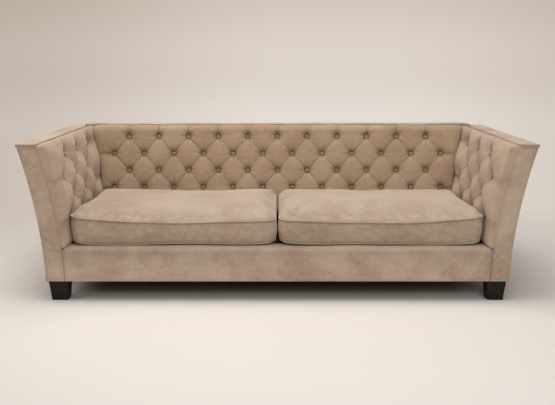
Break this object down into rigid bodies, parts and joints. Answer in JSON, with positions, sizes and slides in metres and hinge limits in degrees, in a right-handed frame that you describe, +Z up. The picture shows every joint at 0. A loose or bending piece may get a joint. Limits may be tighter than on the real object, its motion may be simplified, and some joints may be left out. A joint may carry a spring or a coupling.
{
  "type": "sofa",
  "caption": "Long sofa with flared arms as high as its back, deep-buttoned inside arms and back, loose box cushions and tapered block legs.",
  "frame": {"origin": "on the floor under the middle of the sofa", "axes": "+X along the seat to the viewer's right, +Y to the back, +Z up"},
  "size_m": [2.396, 0.94, 0.768],
  "materials": {
    "suede_cloth": "brushed suede-like cloth, taupe",
    "leg_black": "satin black paint",
    "frame_timber": "sawn hardwood",
    "steel": "zinc-plated steel",
    "webbing_cloth": "woven elastic webbing",
    "hessian_cloth": "hessian",
    "foam": "upholstery foam",
    "lining_cloth": "black lining cloth",
    "zip_cloth": "zip tape"
  },
  "bodies": {
    "sofa_frame": {"arm_buttons_left": "suede_cloth", "arm_buttons_right": "suede_cloth", "arm_cap_left": "suede_cloth", "arm_cap_right": "suede_cloth", "arm_facing_left": "suede_cloth", "arm_facing_right": "suede_cloth", "arm_foam_left": "foam", "arm_foam_right": "foam", "arm_front_post_left": "frame_timber", "arm_front_post_right": "frame_timber", "arm_hessian": "hessian_cloth", "arm_rear_post_left": "frame_timber", "arm_rear_post_right": "frame_timber", "arm_tack_rails": "frame_timber", "arm_top_rail_left": "frame_timber", "arm_top_rail_right": "frame_timber", "arm_twines": "hessian_cloth", "arm_webbing": "webbing_cloth", "back_buttons": "suede_cloth", "back_cap": "suede_cloth", "back_foam": "foam", "back_hessian": "hessian_cloth", "back_tack_rail": "frame_timber", "back_top_rail": "frame_timber", "back_twines": "hessian_cloth", "back_uprights": "frame_timber", "back_webbing": "webbing_cloth", "dust_cover": "lining_cloth", "front_border": "suede_cloth", "front_rail": "frame_timber", "inside_arm_cover_left": "suede_cloth", "inside_arm_cover_right": "suede_cloth", "inside_back_cover": "suede_cloth", "leg_blocks": "frame_timber", "leg_bolts": "steel", "leg_front_left": "leg_black", "leg_front_right": "leg_black", "leg_inserts": "steel", "leg_rear_left": "leg_black", "leg_rear_right": "leg_black", "outer_arm_cover_left": "suede_cloth", "outer_arm_cover_right": "suede_cloth", "outer_back_cover": "suede_cloth", "rear_rail": "frame_timber", "seat_platform": "lining_cloth", "seat_stretchers": "frame_timber", "seat_webbing": "webbing_cloth", "side_rail_left": "frame_timber", "side_rail_right": "frame_timber"},
    "cushion_left": {"cushion_core_left": "foam", "cushion_cover_left": "suede_cloth", "cushion_welts_left": "suede_cloth", "cushion_zip_left": "zip_cloth"},
    "cushion_right": {"cushion_core_right": "foam", "cushion_cover_right": "suede_cloth", "cushion_welts_right": "suede_cloth", "cushion_zip_right": "zip_cloth"},
    "zip_slider_left": {"zip_slider_left": "steel"},
    "zip_slider_right": {"zip_slider_right": "steel"}
  },
  "joints": [
    {"name": "cushion_left_lift", "type": "slide", "parent": "sofa_frame", "child": "cushion_left", "axis": [0, 0, 1], "range_m": [0, 0.55]},
    {"name": "cushion_right_lift", "type": "slide", "parent": "sofa_frame", "child": "cushion_right", "axis": [0, 0, 1], "range_m": [0, 0.55]},
    {"name": "zip_left_run", "type": "slide", "parent": "cushion_left", "child": "zip_slider_left", "axis": [1, 0, 0], "range_m": [0, 0.78]},
    {"name": "zip_right_run", "type": "slide", "parent": "cushion_right", "child": "zip_slider_right", "axis": [-1, 0, 0], "range_m": [0, 0.78]}
  ]
}
